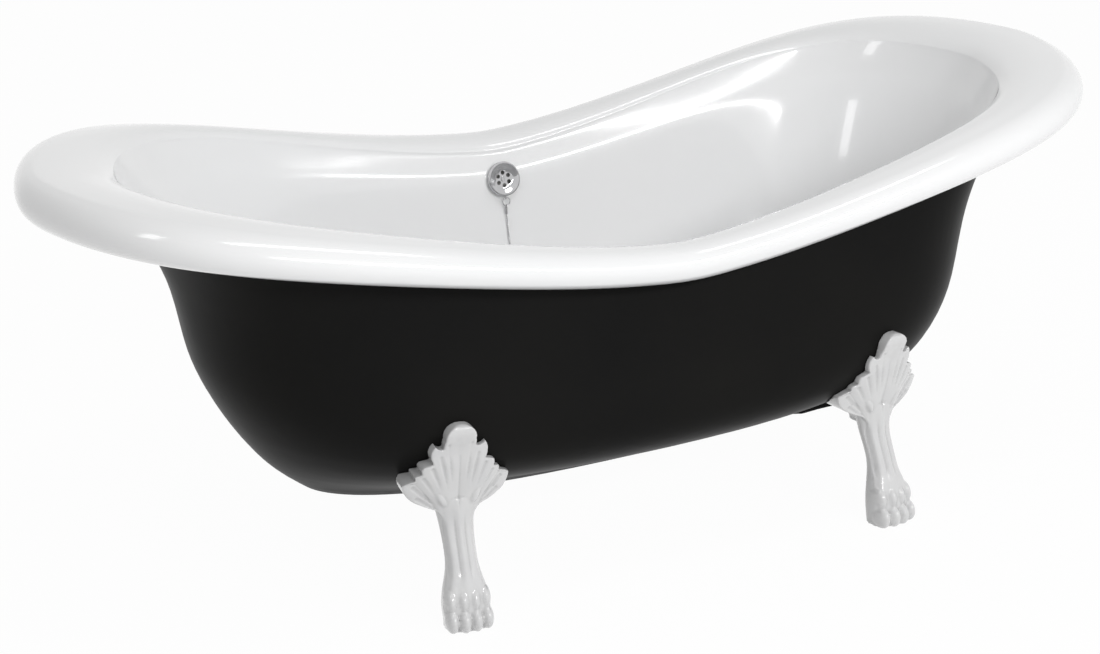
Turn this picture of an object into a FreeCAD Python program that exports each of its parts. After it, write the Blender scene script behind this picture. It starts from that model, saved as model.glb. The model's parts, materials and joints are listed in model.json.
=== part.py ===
import FreeCAD, Part
import math
import os

# A double-skinned double slipper bathtub on four claw feet, with its plug, chain,
# overflow and waste.  Millimetres.  X runs along the tub, Y across it (the overflow
# is on the +Y side), Z is up, and the floor is Z = 0 under the middle of the tub.

V = FreeCAD.Vector

# ---- overall ----------------------------------------------------------------
TUB_LENGTH = 1880.0
TUB_WIDTH = 800.0
RIM_HEIGHT_MIDDLE = 561.0      # top of the rolled rim halfway along
RIM_HEIGHT_END = 709.0         # top of the rolled rim at each raised end
BASE_HEIGHT = 130.0            # underside of the flat base

# ---- rolled rim -------------------------------------------------------------
ROLL_OUT = 37.6                # from the roll's centre line outwards
ROLL_IN_SIDE = 48.0            # inwards, over the wall, halfway along
ROLL_IN_END = 120.0            # inwards, over the wall, at the ends
LIP_IN_SIDE = 36.0             # inwards, under the roll, halfway along
LIP_IN_END = 120.0
ROLL_RISE_MIDDLE = 29.5        # half the roll's height halfway along
ROLL_RISE_END = 37.6
LIP_ANGLE = -150.0             # where the curled lip stops
RIM_CURVE = 1.567              # how the rim sweeps up to the ends
RIM_EASE = 1.678
RIM_LONG_POWER = 6.4           # plan outline, along
RIM_CROSS_POWER = 1.57         # plan outline, across

# ---- skins ------------------------------------------------------------------
SHELL = 8.0                    # basin: acrylic and its glass fibre backing
SKIN = 5.0                     # outer skin
BOARD = 24.0                   # board sealed between the two
SKIN_DROP = 14.0               # outer skin's top edge below the roll's centre
BASE_LONG_POWER = 2.5
BASE_CROSS_POWER = 2.2
BOARD_POWERS = (3.5, 2.6)
# Each station is (share of the way down, inset at the ends, inset at the sides), with
# the insets measured from the roll's centre line.
BASIN_STATIONS = [
    (0.05, 140.4, 58.9),
    (0.12, 164.4, 68.4),
    (0.30, 210.4, 79.4),
    (0.50, 246.4, 90.4),
    (0.70, 280.4, 112.4),
    (0.85, 321.4, 147.4),
    (0.95, 364.4, 185.4),
    (1.00, 405.4, 213.4),
]
HULL_STATIONS = [
    (0.12, 148.4, 25.4),
    (0.30, 193.4, 14.4),
    (0.55, 222.4, -1.6),
    (0.75, 268.4, 23.4),
    (0.90, 322.4, 116.4),
    (1.00, 377.4, 191.4),
]
QUARTER_POINTS = 14            # points in each quarter of a ring
CLEAR = 0.3                    # between curved faces that seat on each other
LIP_CLEAR = 0.8                # between the outer skin's top edge and the lip
FIT = 0.08                     # radial play of a pin in its hole

# ---- feet -------------------------------------------------------------------
FOOT_FROM_END = 514.4          # top of the leg, in from the roll's centre line
FOOT_FROM_SIDE = 52.4
FOOT_SPLAY = 8.0               # degrees, toes turned towards the tub's end
FOOT_HEIGHT = 338.0            # top of the leaf
LEAF_SPAN = 86.0               # middle to the tip of the side lobe
LEAF_BARREL = 150.0            # the leaf's front wraps round this radius
# The leaf's front: (height below its top, how far out from the top of the leg).
LEAF_FRONT = [(176, 24), (132, 29), (96, 38), (62, 45), (38, 49), (16, 58), (4, 58)]
# Where the leaf's flutes end: (side, height below its top).
LEAF_FLUTES = [(7, 20), (19, 32), (31, 52), (44, 72), (58, 90), (74, 108), (68, 128)]
FLUTE_ROOT = 162.0             # below the leaf's top, where the flutes begin
FLUTE_RADII = (1.6, 5.0)
TOE_SPACING = 18.8
TOE_RADIUS = 10.4
PAW_FRONT = 90.0               # toe tips, out from the top of the leg
LEG_BACK_HEIGHT = 165.0        # where the arm leaves the back of the leg
ARM_WIDTH = 36.0
ARM_THICKNESS = 10.0
ARM_BENDS = [-24, -70, -115, -155]  # where its underside follows the skin's slope
ARM_PAD = 82.0                 # its level end, against the flat base
ARM_REACH = 265.0
ARM_BOLTS = [207.0, 247.0]     # inwards from the top of the leg
BOLT_RADIUS = 4.0
BOLT_HEAD = 6.5                # half the width across flats
BOLT_HEAD_HEIGHT = 5.3
WASHER_RADIUS = 8.0
WASHER = 1.6
INSERT_RADIUS = 6.5
INSERT_LENGTH = 20.0
LEVELLER_OUT = 57.0            # out from the top of the leg
LEVELLER_PAD = 15.0
LEVELLER_PAD_HEIGHT = 6.0
LEVELLER_STUD = 5.0
LEVELLER_LENGTH = 44.0
LEVELLER_BORE = 58.0

# ---- overflow ---------------------------------------------------------------
OVERFLOW_HEIGHT = 490.0
ROSE_RADIUS = 31.0
ROSE_RIM = 9.0                 # how far the rim stands off its gasket
PLATE_RADIUS = 17.5
GRID_HOLES = 6
GRID_HOLE = 3.7
GRID_CIRCLE = 11.5
GASKET = 2.0
OVERFLOW_HOLE = 19.0
OVERFLOW_DEPTH = 16.0          # the body behind the wall
OVERFLOW_BODY = 25.0
SCREW_RADIUS = 2.5
BOSS_RADIUS = 5.8              # takes the screw, behind the wall
HOSE_RADIUS = 9.0
HOSE_WALL = 2.0
SPIGOT_LENGTH = 16.0

# ---- waste ------------------------------------------------------------------
WASTE_FLANGE = 35.0
WASTE_BORE = 19.0
SEAT_TOP = 23.0                # radius of the plug seat at the flange's face
SEAT_DEPTH = 12.0
WASTE_FACE = 3.0
WASTE_TAIL = 25.0              # outside of the threaded neck under the flange
WASTE_BODY = 35.0
OUTLET_RADIUS = 23.9
OUTLET_BORE = 19.0
OUTLET_LENGTH = 24.0
WASTE_BOTTOM = 78.0            # lower end of the outlet
CAVITY_HOLE = 40.0             # hole in board and skin round the waste

# ---- plug and chain ---------------------------------------------------------
PLUG_CAP = 24.0
CAP_RISE = 5.4
SEAL_RISE = 2.2                # the rubber seal above the flange's face
RING_RADIUS = 7.2
RING_WIRE = 0.8
LUG_REACH = 5.0
CHAIN_DIAMETER = 3.2
# The bead chain from its coupling (whose place sets the first point) down the wall,
# over the floor and up to the plug: X, Y and height.
CHAIN_ROUTE = [
    (0.8, 277.9, 402.0), (3.0, 272.6, 366.0), (5.2, 264.4, 329.0), (7.0, 252.6, 291.0),
    (7.4, 235.0, 254.5), (6.8, 211.6, 222.0), (5.2, 186.6, 196.5), (4.2, 157.4, 174.8),
    (3.0, 130.0, 169.3), (6.2, 98.8, 169.4), (3.6, 68.3, 169.3), (1.4, 40.0, 176.2),
    (0.5, 24.5, 180.6), (0.0, 12.5, 182.4),
]
CHAIN_HANG = 30.0              # the first bead below the ring's pivot
CHAIN_SPLIT = 8                # the run in which the two lengths of chain meet

# ---- values worked out from the above ---------------------------------------
ROLL_LENGTH = TUB_LENGTH / 2 - ROLL_OUT
ROLL_WIDTH = TUB_WIDTH / 2 - ROLL_OUT
ROLL_MIDDLE = RIM_HEIGHT_MIDDLE - ROLL_RISE_MIDDLE
ROLL_END = RIM_HEIGHT_END - ROLL_RISE_END
FLOOR = BASE_HEIGHT + SKIN + BOARD + SHELL
FOOT_X = ROLL_LENGTH - FOOT_FROM_END
FOOT_Y = ROLL_WIDTH - FOOT_FROM_SIDE


def rim_height(share):
    """Height of the roll's centre line; share is 0 halfway along and 1 at an end."""
    share = min(1.0, abs(share))
    sweep = 1.0 - (1.0 - share ** RIM_CURVE) ** RIM_EASE
    return ROLL_MIDDLE + (ROLL_END - ROLL_MIDDLE) * sweep


def quarter(half_length, half_width, long_power, cross_power):
    """Points of a quarter of the plan outline, evenly spaced along it."""
    steps = 300
    fine = []
    for i in range(steps + 1):
        turn = math.pi / 2 * i / steps
        x = half_length * math.cos(turn) ** (2 / long_power)
        y = half_width * math.sin(turn) ** (2 / cross_power)
        fine.append((x, y))
    run = [0.0]
    for a, b in zip(fine, fine[1:]):
        run.append(run[-1] + math.dist(a, b))
    points = []
    k = 0
    for i in range(QUARTER_POINTS + 1):
        goal = run[-1] * i / QUARTER_POINTS
        while k < steps - 1 and run[k + 1] < goal:
            k += 1
        part = (goal - run[k]) / (run[k + 1] - run[k])
        points.append((fine[k][0] + (fine[k + 1][0] - fine[k][0]) * part,
                       fine[k][1] + (fine[k + 1][1] - fine[k][1]) * part))
    points[-1] = (0.0, half_width)
    return points


def ring(half_length, half_width, powers, height):
    """A closed smooth wire round the tub; height gives Z at a share of half_length."""
    first = quarter(half_length, half_width, powers[0], powers[1])
    left = [(-x, y) for x, y in reversed(first[:-1])]
    far = first + left
    near = [(x, -y) for x, y in reversed(far[1:-1])]
    points = [V(x, y, height(abs(x) / half_length)) for x, y in far + near]
    curve = Part.BSplineCurve()
    knots = [float(i) for i in range(len(points) + 1)]
    curve.interpolate(Points=points, PeriodicFlag=True, Parameters=knots)
    return Part.Wire([curve.toShape()])


def roll_ring(angle, inward, shrink):
    """A ring round the rolled rim, at an angle about its centre line."""
    c = math.cos(math.radians(angle))
    s = math.sin(math.radians(angle))
    along = (ROLL_OUT if c > 0 else inward[0]) - shrink
    across = (ROLL_OUT if c > 0 else inward[1]) - shrink

    def height(share):
        rise = ROLL_RISE_MIDDLE + (ROLL_RISE_END - ROLL_RISE_MIDDLE) * share ** 2
        return rim_height(share) + (rise - shrink) * s
    return ring(ROLL_LENGTH + along * c, ROLL_WIDTH + across * c,
                (RIM_LONG_POWER, RIM_CROSS_POWER), height)


def wall_ring(share, end_inset, side_inset, top_drop, bottom, grow):
    """A ring of a wall: share 0 follows the rim, share 1 lies flat at the bottom."""
    half_length = ROLL_LENGTH - end_inset
    half_width = ROLL_WIDTH - side_inset
    long_power = RIM_LONG_POWER + (BASE_LONG_POWER - RIM_LONG_POWER) * share
    cross_power = RIM_CROSS_POWER + (BASE_CROSS_POWER - RIM_CROSS_POWER) * share

    def height(part):
        top = rim_height(part * half_length / ROLL_LENGTH) - top_drop
        return top * (1 - share) + bottom * share
    return ring(half_length + grow, half_width + grow, (long_power, cross_power), height)


def closed_sheet(front, back):
    """A solid sheet between two families of rings whose last rings are flat."""
    faces = []
    for rings in (front, back):
        faces += Part.makeLoft(rings, False, False).Faces
        faces.append(Part.Face(rings[-1]))
    faces += Part.makeLoft([front[0], back[0]], False, True).Faces
    shell = Part.makeShell(faces)
    shell.sewShape()
    solid = Part.makeSolid(shell)
    if solid.Volume < 0:
        solid.reverse()
    return solid


# ---- the two skins ----------------------------------------------------------
def basin_rings(shrink):
    """Lip, roll, wall and floor of the basin; shrink is 0 in front, SHELL behind."""
    rings = []
    for angle in (LIP_ANGLE, -120, -90):
        rings.append(roll_ring(angle, (LIP_IN_END, LIP_IN_SIDE), shrink))
    for angle in (-60, -30, 0, 30, 60, 90, 120, 150, 180):
        rings.append(roll_ring(angle, (ROLL_IN_END, ROLL_IN_SIDE), shrink))
    for share, end_inset, side_inset in BASIN_STATIONS:
        rings.append(wall_ring(share, end_inset, side_inset, 0, FLOOR - shrink, shrink))
    return rings


def skin_rings(grow):
    """Outer skin from its top edge, tucked behind the lip, to the flat base."""
    lip = math.cos(math.radians(LIP_ANGLE))
    top = (0.0, LIP_CLEAR - LIP_IN_END * lip, LIP_CLEAR - LIP_IN_SIDE * lip)
    rings = []
    for share, end_inset, side_inset in [top] + HULL_STATIONS:
        rings.append(wall_ring(share, end_inset, side_inset, SKIN_DROP, BASE_HEIGHT - grow, grow))
    return rings


def hull_block(grow):
    """The outer skin's shape as a full block, for cutting what lies against it."""
    rings = skin_rings(grow)
    lid = ring(TUB_LENGTH / 2, TUB_WIDTH / 2, (RIM_LONG_POWER, RIM_CROSS_POWER),
               lambda share: RIM_HEIGHT_END + 40)
    faces = Part.makeLoft(rings, False, False).Faces
    faces += Part.makeLoft([rings[0], lid], False, True).Faces
    faces += [Part.Face(rings[-1]), Part.Face(lid)]
    shell = Part.makeShell(faces)
    shell.sewShape()
    block = Part.makeSolid(shell)
    if block.Volume < 0:
        block.reverse()
    return block


def upright(radius, low, high, x=0.0, y=0.0):
    return Part.makeCylinder(radius, high - low, V(x, y, low))


def basin_shell():
    shell = closed_sheet(basin_rings(0), basin_rings(SHELL))
    shell = shell.cut(upright(WASTE_TAIL + 0.5, FLOOR - 2 * SHELL, FLOOR + SHELL))
    return shell


def arm_bolt_points():
    points = []
    for reach in ARM_BOLTS:
        x, y = foot_point(0.0, -reach)
        points += [(x, y), (-x, y), (x, -y), (-x, -y)]
    return points


def outer_skin():
    skin = closed_sheet(skin_rings(0), skin_rings(-SKIN))
    holes = [upright(CAVITY_HOLE, BASE_HEIGHT - SKIN, BASE_HEIGHT + 2 * SKIN)]
    for x, y in arm_bolt_points():
        holes.append(upright(BOLT_RADIUS + 0.5, BASE_HEIGHT - SKIN, BASE_HEIGHT + 2 * SKIN, x, y))
    return skin.cut(holes)


def base_board(hose_slot):
    low = BASE_HEIGHT + SKIN
    half_length = ROLL_LENGTH - BASIN_STATIONS[-1][1] - 30
    half_width = ROLL_WIDTH - BASIN_STATIONS[-1][2] - 6
    outline = ring(half_length, half_width, BOARD_POWERS, lambda share: low)
    board = Part.Face(outline).extrude(V(0, 0, BOARD))
    holes = [upright(CAVITY_HOLE, low - 1, low + BOARD + 1), hose_slot]
    for x, y in arm_bolt_points():
        holes.append(upright(INSERT_RADIUS + FIT, low - 1, low + INSERT_LENGTH + FIT, x, y))
    return board.cut(holes)


# ---- feet -------------------------------------------------------------------
def foot_point(side, out):
    """Plan place of a point of the foot at +X -Y, from the top of its leg."""
    a = math.radians(FOOT_SPLAY)
    return (FOOT_X + side * math.cos(a) + out * math.sin(a),
            -FOOT_Y + side * math.sin(a) - out * math.cos(a))


def leg_ring(z, out, half_out, half_side, square):
    """A level section of the leg, with three tendons down its front."""
    points = []
    count = 24
    for i in range(count):
        turn = 2 * math.pi * i / count
        c = math.cos(turn)
        s = math.sin(turn)
        tendon = 1 + 0.045 * math.cos(8 * turn) * max(0.0, s)
        side = half_side * math.copysign(abs(c) ** (2 / square), c) * tendon
        ahead = half_out * math.copysign(abs(s) ** (2 / square), s) * tendon
        points.append(V(side, -(out + ahead), z))
    curve = Part.BSplineCurve()
    curve.interpolate(Points=points, PeriodicFlag=True)
    return Part.Wire([curve.toShape()])


def leg():
    """Leg and heel: a loft from the floor to the back of the leaf."""
    paw = PAW_FRONT - 40
    sections = [
        (0, paw, 25, 36, 3.0),
        (30, paw - 2, 27, 37.5, 3.0),
        (54, paw - 5, 27, 36, 2.8),
        (74, paw - 11, 26, 31, 2.4),
        (95, paw - 18, 24, 26.5, 2.1),
        (122, paw - 28, 23, 25.5, 2.0),
        (150, paw - 40, 24, 27, 2.0),
        (175, paw - 45, 25, 31, 2.0),
        (205, paw - 46, 27, 38, 2.0),
    ]
    rings = [leg_ring(*section) for section in sections]
    return Part.makeLoft(rings, True, False)


def egg(side, out, z, half_side, half_out, half_up):
    ball = Part.makeSphere(1.0)
    size = FreeCAD.Matrix()
    size.scale(V(half_side, half_out, half_up))
    shape = ball.transformGeometry(size)
    shape.translate(V(side, -out, z))
    return shape


def toes():
    """Four toes in two rows: knuckles above, toe tips below."""
    shapes = []
    for i in range(4):
        place = i - 1.5
        side = place * TOE_SPACING
        back = 5.0 if abs(place) > 1 else 0.0
        shapes.append(egg(side, PAW_FRONT - 22 - back, 17, TOE_RADIUS, 22, 20))
        shapes.append(egg(side * 0.97, PAW_FRONT - 35 - back, 47, TOE_RADIUS, 24, 21))
    return shapes


def leaf_outline():
    """Half the leaf seen from outside, from its tip down to the leg, as arcs."""
    tip = FOOT_HEIGHT
    span = LEAF_SPAN / 86.0
    arcs = [
        ((0, tip), (18, tip - 7), (24, tip - 26)),
        ((24, tip - 26), (25.5, tip - 34), (25, tip - 41)),
        ((25, tip - 41), (31, tip - 41), (39, tip - 34)),
        ((39, tip - 34), (45, tip - 48), (40, tip - 66)),
        ((40, tip - 66), (48, tip - 68), (56, tip - 71)),
        ((56, tip - 71), (58, tip - 79), (54, tip - 86)),
        ((54, tip - 86), (61, tip - 86), (67, tip - 88)),
        ((67, tip - 88), (67, tip - 92), (65, tip - 96)),
        ((65, tip - 96), (76, tip - 100), (86, tip - 106)),
        ((86, tip - 106), (80, tip - 124), (64, tip - 138)),
        ((64, tip - 138), (50, tip - 145), (38, tip - 150)),
        ((38, tip - 150), (29, tip - 158), (24, tip - 172)),
    ]
    return [[(s * span, z) for s, z in arc] for arc in arcs]


def leaf():
    """Leaf plate: its outline cut from a barrel that lies against the skin."""
    half = leaf_outline()
    edges = []
    for sign in (1, -1):
        for arc in half:
            edges.append(Part.Arc(*[V(sign * s, 130, z) for s, z in arc]).toShape())
    last = half[-1][-1]
    edges.append(Part.LineSegment(V(last[0], 130, last[1]), V(-last[0], 130, last[1])).toShape())
    outline = Part.Face(Part.Wire(Part.__sortEdges__(edges)))
    prism = outline.extrude(V(0, -260, 0))
    tip = FOOT_HEIGHT
    front = [V(0, -out, tip - below) for below, out in LEAF_FRONT]
    curve = Part.BSplineCurve()
    curve.interpolate(front)
    start = front[0]
    end = front[-1]
    top = V(0, -48, tip + 2)
    inner = V(0, -20, tip + 2)
    back = V(0, 24, tip - 100)
    foot = V(0, 24, start.z)
    edges = [curve.toShape()]
    corners = [end, top, inner, back, foot, start]
    for a, b in zip(corners, corners[1:]):
        edges.append(Part.LineSegment(a, b).toShape())
    section = Part.Face(Part.Wire(edges))
    axis = V(0, LEAF_BARREL, 0)
    section.rotate(axis, V(0, 0, 1), -34)
    barrel = section.revolve(axis, V(0, 0, 1), 68)
    return barrel.common(prism)


def leaf_face(side, below, lift):
    """A point over the leaf's front, at a height below its top."""
    for (low, low_out), (high, high_out) in zip(LEAF_FRONT, LEAF_FRONT[1:]):
        if low >= below >= high:
            out = low_out + (high_out - low_out) * (low - below) / (low - high)
    radius = LEAF_BARREL + out + lift
    return V(side, LEAF_BARREL - math.sqrt(radius ** 2 - side ** 2), FOOT_HEIGHT - below)


def leaf_flutes():
    """Tapered flutes that fan out from the top of the leg, on both sides."""
    root_radius, end_radius = FLUTE_RADII
    flutes = []
    for end_side, below in LEAF_FLUTES:
        for side in (end_side, -end_side):
            root = leaf_face(side * 0.26, FLUTE_ROOT, root_radius * 0.6)
            end = leaf_face(side, below, end_radius * 0.6)
            way = end - root
            flutes.append(Part.makeCone(root_radius, end_radius, way.Length, root, way))
    return flutes


def leaf_drops():
    """A raised drop on each side of the tongue's foot."""
    drops = []
    for sign in (1, -1):
        drop = egg(0, 0, 0, 6, 6, 15)
        drop.rotate(V(0, 0, 0), V(0, 1, 0), 26 * sign)
        drop.translate(leaf_face(sign * 28, 130, -1.5))
        drops.append(drop)
    return drops


def skin_height(hull, out):
    """Height of the skin's underside over a point of the foot's middle line."""
    x, y = foot_point(0.0, out)
    return Part.makeLine(V(x, y, 0), V(x, y, RIM_HEIGHT_MIDDLE)).common(hull).BoundBox.ZMin


def arm(hull):
    """Arm that hugs the skin inwards and bolts up under the flat base."""
    under = BASE_HEIGHT - ARM_THICKNESS
    outline = [(12, 205), (12, LEG_BACK_HEIGHT)]
    for out in ARM_BENDS:
        outline.append((out, skin_height(hull, out) - 1.5 * ARM_THICKNESS))
    outline += [(-ARM_REACH + ARM_PAD, under), (-ARM_REACH, under)]
    outline += [(-ARM_REACH, under + 20), (-110, 200), (-60, 230)]
    points = [V(-ARM_WIDTH / 2, -out, z) for out, z in outline]
    points.append(points[0])
    return Part.Face(Part.makePolygon(points)).extrude(V(ARM_WIDTH, 0, 0))


def claw_foot():
    """The foot at +X -Y, as one casting."""
    hull = hull_block(CLEAR)
    leaf_plate = leaf().cut(leaf_flutes())
    foot = leg().fuse([leaf_plate, arm(hull)] + leaf_drops() + toes())
    foot.rotate(V(0, 0, 0), V(0, 0, 1), FOOT_SPLAY)
    foot.translate(V(FOOT_X, -FOOT_Y, 0))
    x, y = foot_point(0.0, LEVELLER_OUT)
    cuts = [hull, Part.makeBox(400, 400, 100, V(FOOT_X - 200, -FOOT_Y - 200, -100))]
    cuts.append(upright(LEVELLER_PAD + 1, -1, LEVELLER_PAD_HEIGHT + CLEAR, x, y))
    cuts.append(upright(LEVELLER_STUD + FIT, -1, LEVELLER_BORE, x, y))
    for reach in ARM_BOLTS:
        x, y = foot_point(0.0, -reach)
        cuts.append(upright(BOLT_RADIUS + 0.5, 50, BASE_HEIGHT + 20, x, y))
    return foot.cut(cuts)


def levelling_screw():
    x, y = foot_point(0.0, LEVELLER_OUT)
    pad = upright(LEVELLER_PAD, 0, LEVELLER_PAD_HEIGHT, x, y)
    stud = upright(LEVELLER_STUD, LEVELLER_PAD_HEIGHT, LEVELLER_LENGTH, x, y)
    return pad.fuse(stud)


def in_four(shape):
    """The shape at +X -Y and its three mirror images, named by corner."""
    across = shape.mirror(V(0, 0, 0), V(0, 1, 0))
    return {
        "near_right": shape,
        "near_left": shape.mirror(V(0, 0, 0), V(1, 0, 0)),
        "far_right": across,
        "far_left": across.mirror(V(0, 0, 0), V(1, 0, 0)),
    }


def foot_bolts():
    bolts = []
    head_top = BASE_HEIGHT - ARM_THICKNESS - WASHER
    for x, y in arm_bolt_points():
        corner = BOLT_HEAD / math.cos(math.pi / 6)
        points = []
        for i in range(7):
            turn = math.pi / 3 * i
            points.append(V(x + corner * math.cos(turn), y + corner * math.sin(turn), head_top))
        head = Part.Face(Part.makePolygon(points)).extrude(V(0, 0, -BOLT_HEAD_HEIGHT))
        shank = upright(BOLT_RADIUS, head_top, BASE_HEIGHT + SKIN + INSERT_LENGTH - 2, x, y)
        bolts.append(head.fuse(shank))
    return Part.makeCompound(bolts)


def foot_washers():
    top = BASE_HEIGHT - ARM_THICKNESS
    washers = []
    for x, y in arm_bolt_points():
        disc = upright(WASHER_RADIUS, top - WASHER, top, x, y)
        washers.append(disc.cut(upright(BOLT_RADIUS + 0.4, top - 5, top + 5, x, y)))
    return Part.makeCompound(washers)


def threaded_inserts():
    low = BASE_HEIGHT + SKIN
    inserts = []
    for x, y in arm_bolt_points():
        sleeve = upright(INSERT_RADIUS, low, low + INSERT_LENGTH, x, y)
        bore = upright(BOLT_RADIUS + FIT, low - 1, low + INSERT_LENGTH - 1.5, x, y)
        inserts.append(sleeve.cut(bore))
    return Part.makeCompound(inserts)


# ---- overflow ---------------------------------------------------------------
def wall_face(shell, z):
    """Y of the basin's inner face halfway along, at a height."""
    probe = Part.makeLine(V(0, 0, z), V(0, ROLL_WIDTH - 12, z))
    return probe.common(shell).BoundBox.YMin


def lathe(profile, origin, along):
    """A turned piece: profile is (radius, distance) pairs along an axis."""
    points = [V(r, 0, d) for r, d in profile]
    points.append(points[0])
    solid = Part.Face(Part.makePolygon(points)).revolve(V(0, 0, 0), V(0, 0, 1), 360)
    spin = FreeCAD.Rotation(V(0, 0, 1), along)
    solid.Placement = FreeCAD.Placement(origin, spin)
    return solid


def largest(shape):
    """The largest solid of a shape."""
    return max(shape.Solids, key=lambda solid: solid.Volume)


class Overflow:
    """The overflow's axis: out of the far wall, square to it."""

    def __init__(self, shell):
        reach = ROSE_RADIUS * 0.7
        low = wall_face(shell, OVERFLOW_HEIGHT - reach)
        high = wall_face(shell, OVERFLOW_HEIGHT + reach)
        middle = wall_face(shell, OVERFLOW_HEIGHT)
        self.face = V(0, min(middle, (low + high) / 2), OVERFLOW_HEIGHT)
        slope = V(0, high - low, 2 * reach)
        slope.normalize()
        self.normal = V(0, -slope.z, slope.y)
        self.down = slope * -1
        block = self.cylinder(ROSE_RADIUS + 5, -3 * SHELL, 2 * SHELL)
        self.wall = shell.common(block)

    def at(self, drop, stand):
        return self.face + self.down * drop + self.normal * stand

    def cylinder(self, radius, low, high, across=0.0, drop=0.0):
        start = self.at(drop, low) + V(across, 0, 0)
        return Part.makeCylinder(radius, high - low, start, self.normal)

    def holes(self):
        return [self.cylinder(OVERFLOW_HOLE + 0.5, -3 * SHELL, SHELL)]

    def gasket(self, disc, gap):
        """The part of a disc on one side of the wall, with its hole."""
        wall = self.wall.translated(self.normal * gap)
        return largest(disc.cut(wall).cut(self.cylinder(OVERFLOW_HOLE, -40, 20)))

    def front_gasket(self):
        disc = self.cylinder(ROSE_RADIUS - 3, -SHELL / 2, GASKET)
        return self.gasket(disc, 0.1)

    def rose(self):
        base = GASKET
        rim = base + ROSE_RIM
        profile = [
            (0, base + 1), (PLATE_RADIUS - 1, base + 1), (OVERFLOW_HOLE, base),
            (ROSE_RADIUS - 1, base), (ROSE_RADIUS, base + 1.5), (ROSE_RADIUS, rim - 3),
            (ROSE_RADIUS - 1.2, rim - 0.8), (ROSE_RADIUS - 3, rim),
            (ROSE_RADIUS - 5, rim - 0.8), (PLATE_RADIUS, base + 3.5), (0, base + 3.5),
        ]
        cup = lathe(profile, self.face, self.normal)
        cuts = [self.cylinder(SCREW_RADIUS + 0.3, -5, 20)]
        for i in range(GRID_HOLES):
            turn = 2 * math.pi * (i + 0.5) / GRID_HOLES
            cuts.append(self.cylinder(GRID_HOLE, -5, 20, GRID_CIRCLE * math.cos(turn),
                                      GRID_CIRCLE * math.sin(turn)))
        return cup.cut(cuts).fuse(self.lug())

    def ring_pivot(self):
        return self.at(ROSE_RADIUS + LUG_REACH * 0.55, GASKET + 3.2)

    def lug(self):
        start = self.at(ROSE_RADIUS - 1.5, GASKET + 1)
        edge = [start, start + self.down * (LUG_REACH + 1.5),
                start + self.down * (LUG_REACH + 1.5) + self.normal * 4.4, start + self.normal * 4.4, start]
        plate = Part.Face(Part.makePolygon([p - V(0.8, 0, 0) for p in edge])).extrude(V(1.6, 0, 0))
        pivot = self.ring_pivot()
        return plate.cut(Part.makeCylinder(RING_WIRE + 0.5, 10, pivot - V(5, 0, 0), V(1, 0, 0)))

    def screw(self):
        head = self.cylinder(4.6, GASKET + 3.5, GASKET + 5.6)
        shank = self.cylinder(SCREW_RADIUS, -OVERFLOW_DEPTH + 6, GASKET + 3.5)
        slot = Part.makeBox(1.2, 12, 3, V(-0.6, -6, 0))
        spin = FreeCAD.Rotation(V(0, 0, 1), self.normal)
        slot.Placement = FreeCAD.Placement(self.at(0, GASKET + 4.6), spin)
        return head.fuse(shank).cut(slot)

    def back_gasket(self):
        disc = self.cylinder(OVERFLOW_BODY, self.body_face(), -SHELL / 2)
        return self.gasket(disc, -0.1)

    def body_face(self):
        return -SHELL - GASKET - 0.5

    def spigot_point(self):
        return self.at(0, self.body_face() - OVERFLOW_DEPTH / 2)

    def body(self):
        """Cup behind the wall with a spigot down to the hose."""
        top = self.body_face()
        low = top - OVERFLOW_DEPTH
        profile = [(0, low), (OVERFLOW_BODY - 4, low), (OVERFLOW_BODY, low + 4), (OVERFLOW_BODY, top),
                   (OVERFLOW_HOLE, top), (OVERFLOW_HOLE, low + 2.5), (0, low + 2.5)]
        cup = lathe(profile, self.face, self.normal)
        boss = self.cylinder(BOSS_RADIUS, low + 1, top + 2)
        start = self.spigot_point()
        length = OVERFLOW_BODY + SPIGOT_LENGTH
        tube = Part.makeCylinder(HOSE_RADIUS - HOSE_WALL - FIT, length, start, V(0, 0, -1))
        bore = Part.makeCylinder(HOSE_RADIUS - HOSE_WALL - 2, 2 * length, start, V(0, 0, -1))
        hollow = self.cylinder(OVERFLOW_HOLE, low + 2.5, top)
        cup = cup.fuse([tube.cut(hollow), boss])
        return cup.cut([bore.cut(boss), self.cylinder(SCREW_RADIUS + FIT, low + 3, 5)])


# ---- waste ------------------------------------------------------------------
def waste_flange():
    """Dished flange with the plug's seat, a grid across the neck and a threaded neck."""
    face = FLOOR + GASKET
    top = face + WASTE_FACE
    floor = top - SEAT_DEPTH
    profile = [(WASTE_BORE, floor), (SEAT_TOP, top - 0.6), (SEAT_TOP + 2, top),
               (WASTE_FLANGE - 2, top - 0.4), (WASTE_FLANGE, top - 2), (WASTE_FLANGE, face),
               (WASTE_TAIL, face),
               (WASTE_TAIL, FLOOR - SHELL - GASKET - 6), (WASTE_BORE, FLOOR - SHELL - GASKET - 6)]
    flange = lathe(profile, V(0, 0, 0), V(0, 0, 1))
    grid_low = floor - 4
    bars = [upright(5.5, grid_low, floor - 0.5)]
    for i in range(3):
        bar = Part.makeBox(2 * WASTE_BORE, 3.4, 3, V(-WASTE_BORE, -1.7, grid_low))
        bar.rotate(V(0, 0, 0), V(0, 0, 1), 60 * i + 30)
        bars.append(bar.common(upright(WASTE_BORE + 0.5, grid_low - 1, floor + 1)))
    return flange.fuse(bars).cut(upright(SCREW_RADIUS + 0.3, grid_low - 5, floor + 5))


def waste_gaskets():
    upper = upright(WASTE_FLANGE - 2, FLOOR, FLOOR + GASKET)
    low = FLOOR - SHELL - GASKET
    lower = upright(WASTE_BODY - 1, low, low + GASKET)
    bore = upright(WASTE_TAIL + FIT, low - 5, FLOOR + 10)
    return upper.cut(bore), lower.cut(bore)


def waste_inlet_height():
    return BASE_HEIGHT + SKIN + BOARD / 2


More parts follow.
